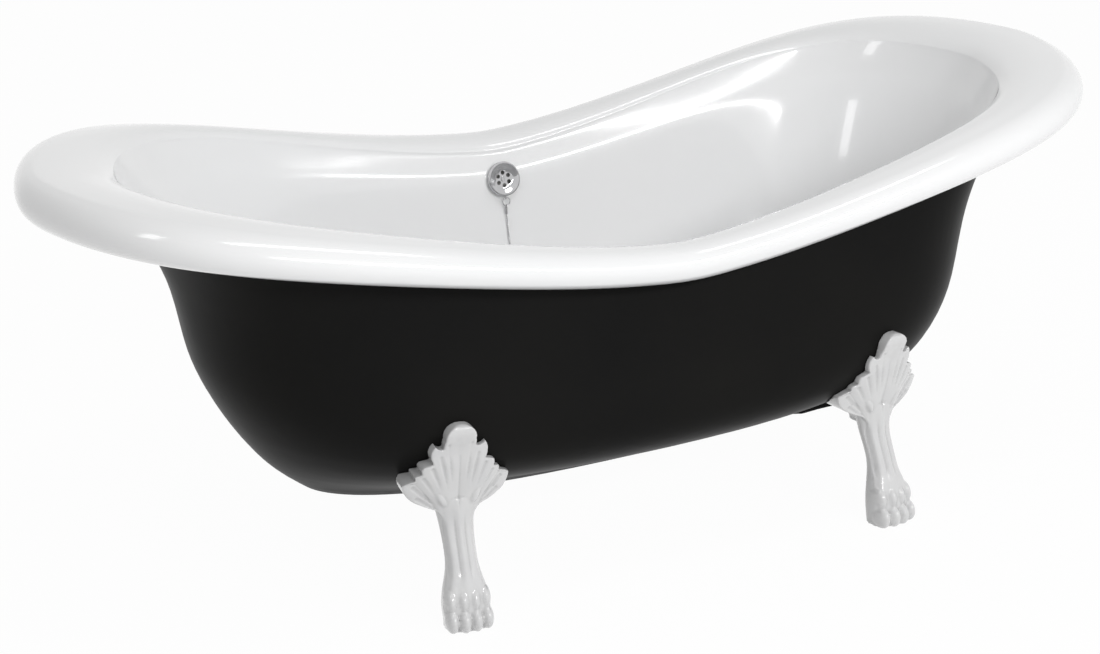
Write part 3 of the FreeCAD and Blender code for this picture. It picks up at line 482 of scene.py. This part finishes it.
def carve_leaf(piece):
    """Flutes that fan out over the leaf from the leg, and run on down the leg."""
    mesh = piece.data
    count = len(mesh.vertices)
    points = np.empty(count * 3, np.float32)
    normals = np.empty(count * 3, np.float32)
    mesh.vertices.foreach_get("co", points)
    mesh.vertices.foreach_get("normal", normals)
    points = points.reshape(-1, 3).astype(float)
    normals = normals.reshape(-1, 3).astype(float)
    side = foot_places(points)[0]
    height = points[:, 2]
    outward = Vector((math.sin(FOOT_SPLAY), -math.cos(FOOT_SPLAY), 0))
    facing = ease(normals @ np.array(outward), 0.05, 0.5)
    rise = height - LEG_TOP + FAN_DROP
    fan = np.arctan2(side, np.maximum(rise, 0.001))
    reach = np.hypot(side, rise)
    flutes = np.abs(np.sin(fan * FLUTE_RATE)) ** 0.7
    on_leaf = ease(height, LEG_TOP - 0.02, LEG_TOP + 0.03) * (1 - ease(reach, 0.15, 0.19))
    depth = FLUTE_DEPTH * ease(reach, 0.035, 0.07)
    push = on_leaf * depth * (flutes - 1)
    tendons = np.abs(np.cos(side / TENDON_WIDTH * math.pi / 2)) ** 0.8
    on_leg = ease(height, 0.075, 0.1) * (1 - ease(height, LEG_TOP - 0.02, LEG_TOP + 0.01))
    push += on_leg * TENDON_DEPTH * (tendons - 1)
    points += normals * (push * facing)[:, None]
    mesh.vertices.foreach_set("co", points.astype(np.float32).ravel())
    mesh.update()


def round_tongue(piece):
    """Fills the ends of the flutes in the leaf's tongue, which stays plain at its top."""
    tongue = piece.vertex_groups.new(name="tongue")
    points = np.array([v.co for v in piece.data.vertices])
    side, out = foot_places(points)
    height = points[:, 2]
    part = ease(height, 0.28, 0.292) * (1 - ease(height, 0.326, 0.332))
    part *= (1 - ease(np.abs(side), 0.011, 0.0145)) * ease(out, -0.004, 0.0)
    for i in np.flatnonzero(part > 0.01).tolist():
        tongue.add([i], part[i], "REPLACE")
    apply_modifier(piece, "SMOOTH", factor=0.5, iterations=60, vertex_group="tongue")
    piece.vertex_groups.clear()


def claw_foot():
    """The foot at +X -Y as one casting with its sharp joins softened by the enamel."""
    foot = welded_copy("foot_near_right", "claw_foot_near_right")
    grid = CASTING_GRID
    apply_modifier(foot, "REMESH", mode="VOXEL", voxel_size=grid)
    apply_modifier(foot, "SMOOTH", factor=0.5, iterations=3)
    carve_leaf(foot)
    round_tongue(foot)
    apply_modifier(foot, "SMOOTH", factor=0.5, iterations=1)
    pick(foot)
    bpy.ops.object.shade_smooth()
    return foot


def behind_the_leg(foot):
    """1 for each face of the arm, which is painted black to go unseen under the skin."""
    centres = np.empty(len(foot.data.polygons) * 3, np.float32)
    foot.data.polygons.foreach_get("center", centres)
    side, out = foot_places(centres.reshape(-1, 3).astype(float))
    return ((out < ARM_OUT) & (np.abs(side) < ARM_SIDE)).astype(np.int32)


def mirrored(piece, name, flip_x, flip_y):
    """A copy on another corner of the tub, with its faces still pointing outwards."""
    copy = bpy.data.objects.new(name, piece.data.copy())
    scene.collection.objects.link(copy)
    copy.data.transform(Matrix.Diagonal((-1 if flip_x else 1, -1 if flip_y else 1, 1, 1)))
    if flip_x != flip_y:
        pick(copy)
        bpy.ops.object.mode_set(mode="EDIT")
        bpy.ops.mesh.select_all(action="SELECT")
        bpy.ops.mesh.flip_normals()
        bpy.ops.object.mode_set(mode="OBJECT")
    return copy


def claw_feet():
    """The four feet: one is shaped, and the others are its mirror images."""
    first = claw_foot()
    corners = {
        "near_right": first,
        "near_left": mirrored(first, "claw_foot_near_left", True, False),
        "far_right": mirrored(first, "claw_foot_far_right", False, True),
        "far_left": mirrored(first, "claw_foot_far_left", True, True),
    }
    hidden = behind_the_leg(first)
    for corner, foot in corners.items():
        finish_piece(foot, "tub", "white_enamel")
        foot.data.materials.append(FINISHES["black_skin"])
        foot.data.polygons.foreach_set("material_index", hidden)
        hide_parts("foot_" + corner)


# ---- bead chain -------------------------------------------------------------
def route_line(name, points):
    """Places along the cord's curve, which runs as the part's does."""
    data = bpy.data.curves.new(name, "CURVE")
    data.dimensions = "3D"
    data.resolution_u = 24
    spline = data.splines.new("NURBS")
    spline.points.add(len(points) - 1)
    for point, place in zip(spline.points, points):
        point.co = (*place, 1)
    spline.order_u = 3
    spline.use_endpoint_u = True
    curve = bpy.data.objects.new(name, data)
    scene.collection.objects.link(curve)
    bpy.context.view_layer.update()
    line = bpy.data.meshes.new_from_object(curve)
    path = [v.co.copy() for v in line.vertices]
    bpy.data.objects.remove(curve)
    return path


def spread_along(path, pitch):
    """Places a pitch apart along a path, with the direction there."""
    run = [0.0]
    for a, b in zip(path, path[1:]):
        run.append(run[-1] + (b - a).length)
    count = round(run[-1] / pitch)
    places = []
    k = 0
    for i in range(count + 1):
        goal = run[-1] * i / count
        while k < len(path) - 2 and run[k + 1] < goal:
            k += 1
        share = (goal - run[k]) / (run[k + 1] - run[k])
        way = (path[k + 1] - path[k]).normalized()
        places.append((path[k].lerp(path[k + 1], share), way))
    return places


def join_as(pieces, name):
    """Joins the pieces into one mesh."""
    bpy.ops.object.select_all(action="DESELECT")
    for piece in pieces:
        piece.select_set(True)
    bpy.context.view_layer.objects.active = pieces[0]
    bpy.ops.object.join()
    joined = pieces[0]
    joined.name = name
    joined.data.name = name
    return joined


def bead():
    """One hollow bead with the short wire that reaches the next."""
    bpy.ops.mesh.primitive_ico_sphere_add(subdivisions=2, radius=CHAIN_DIAMETER / 2)
    ball = bpy.context.object
    bpy.ops.mesh.primitive_cylinder_add(vertices=6, radius=WIRE_RADIUS, depth=BEAD_PITCH)
    wire = bpy.context.object
    link = join_as([ball, wire], "bead")
    bpy.ops.object.shade_smooth()
    return link


def bead_chain(name, points, pattern):
    """Beads strung along the points, and the line they follow."""
    path = route_line(name + "_route", points)
    beads = []
    for place, way in spread_along(path, BEAD_PITCH):
        link = bpy.data.objects.new(name + "_bead", pattern.data.copy())
        scene.collection.objects.link(link)
        turn = way.to_track_quat("Z", "Y").to_matrix().to_4x4()
        link.data.transform(Matrix.Translation(place) @ turn)
        beads.append(link)
    return join_as(beads, name), path


def chain():
    """The bead chain in two lengths: the upper from the overflow's ring, the lower on to the plug.
    """
    pattern = bead()
    points = [Vector(p) for p in CHAIN_ROUTE]
    split = (points[CHAIN_SPLIT - 1] + points[CHAIN_SPLIT]) / 2
    upper, upper_path = bead_chain("bead_chain_upper", points[:CHAIN_SPLIT] + [split], pattern)
    lower, lower_path = bead_chain("bead_chain_lower", [split] + points[CHAIN_SPLIT:], pattern)
    bpy.data.objects.remove(pattern)
    for piece, node in ((upper, "chain_upper"), (lower, "chain_lower")):
        piece.data.materials.clear()
        piece.data.materials.append(FINISHES["chain"])
        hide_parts(node)
    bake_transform(upper)
    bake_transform(lower)


# ---- floor, backdrop and light ----------------------------------------------
FLOOR_SIZE = 60
FLOOR_GLOW = 0.97             # share of the floor's white that is its own, seen or mirrored
STUDIO_LEVEL = 0.37           # strength of the white room on the pieces


def white_floor():
    """A pale floor that shows white and still takes a faint shadow."""
    bpy.ops.mesh.primitive_plane_add(size=FLOOR_SIZE, location=(0, 0, 0))
    floor = bpy.context.object
    floor.name = "floor"
    material = bpy.data.materials.new("pale_floor")
    material.use_nodes = True
    nodes = material.node_tree.nodes
    links = material.node_tree.links
    shader = nodes["Principled BSDF"]
    shader.inputs["Base Color"].default_value = (0.97, 0.97, 0.97, 1)
    shader.inputs["Roughness"].default_value = 0.9
    shader.inputs["Specular IOR Level"].default_value = 0.0
    glow = nodes.new("ShaderNodeEmission")
    path = nodes.new("ShaderNodeLightPath")
    seen = nodes.new("ShaderNodeMath")
    seen.operation = "MAXIMUM"
    links.new(path.outputs["Is Camera Ray"], seen.inputs[0])
    links.new(path.outputs["Is Glossy Ray"], seen.inputs[1])
    share = nodes.new("ShaderNodeMath")
    share.operation = "MULTIPLY"
    share.inputs[1].default_value = FLOOR_GLOW
    links.new(seen.outputs[0], share.inputs[0])
    mix = nodes.new("ShaderNodeMixShader")
    links.new(share.outputs[0], mix.inputs["Fac"])
    links.new(shader.outputs["BSDF"], mix.inputs[1])
    links.new(glow.outputs["Emission"], mix.inputs[2])
    links.new(mix.outputs["Shader"], nodes["Material Output"].inputs["Surface"])
    floor.data.materials.append(material)


def studio_world():
    """A white room: full strength where it is seen or mirrored, lower as light."""
    world = bpy.data.worlds.new("studio")
    scene.world = world
    world.use_nodes = True
    nodes = world.node_tree.nodes
    links = world.node_tree.links
    background = nodes["Background"]
    background.inputs["Color"].default_value = (1, 1, 1, 1)
    path = nodes.new("ShaderNodeLightPath")
    seen = path.outputs["Is Camera Ray"]
    for other in ("Is Glossy Ray", "Is Transmission Ray"):
        either = nodes.new("ShaderNodeMath")
        either.operation = "MAXIMUM"
        links.new(seen, either.inputs[0])
        links.new(path.outputs[other], either.inputs[1])
        seen = either.outputs[0]
    level = nodes.new("ShaderNodeMapRange")
    level.inputs["To Min"].default_value = STUDIO_LEVEL
    level.inputs["To Max"].default_value = 1.0
    links.new(seen, level.inputs["Value"])
    links.new(level.outputs["Result"], background.inputs["Strength"])


def softbox(name, place, aim, size, power, reflected=True):
    """An oblong lamp; one that isn't reflected lights the pieces without showing in the gloss."""
    data = bpy.data.lights.new(name, "AREA")
    data.shape = "RECTANGLE"
    data.size = size[0]
    data.size_y = size[1]
    data.energy = power
    lamp = bpy.data.objects.new(name, data)
    scene.collection.objects.link(lamp)
    lamp.visible_glossy = reflected
    way = Vector(aim) - Vector(place)
    lamp.matrix_world = Matrix.Translation(place) @ way.to_track_quat("-Z", "Y").to_matrix().to_4x4()


# ---- the tub put together ---------------------------------------------------
place_camera()
chain()
basin()
plain_piece("outer_skin", "black_skin", 40)
claw_feet()
for corner in ("near_right", "near_left", "far_right", "far_left"):
    plain_piece("leveller_" + corner, "zinc_steel")
for node in ("foot_bolts", "foot_washers"):
    plain_piece(node, "zinc_steel")
for node in ("overflow_rose", "overflow_screw", "waste_flange", "waste_screw", "plug_cap",
             "plug_eye", "plug_link", "chain_ring", "chain_coupling"):
    plain_piece(node, "chrome")
for node in ("overflow_front_gasket", "overflow_back_gasket", "waste_upper_gasket",
             "waste_lower_gasket", "plug_seal"):
    plain_piece(node, "black_rubber")
for node in ("overflow_body", "overflow_hose", "waste_body"):
    plain_piece(node, "waste_plastic")
plain_piece("hose_clips", "zinc_steel")
plain_piece("base_board", "board")
plain_piece("threaded_inserts", "brass_insert")
white_floor()
studio_world()
softbox("key", (0.6, -4.0, 2.5), (0, 0, 0.4), (3.4, 0.3), 84)
softbox("overhead", (0.2, -0.9, 3.3), (0, 0, 0.4), (2.6, 0.3), 17)
softbox("window", (-2.6, -0.6, 2.2), (0.6, 0.1, 0.4), (0.4, 0.9), 4)
softbox("low_fill", (0.2, -3.6, 0.35), (0, 0, 0.45), (4.0, 0.4), 12, reflected=False)
scene.view_settings.view_transform = "Standard"
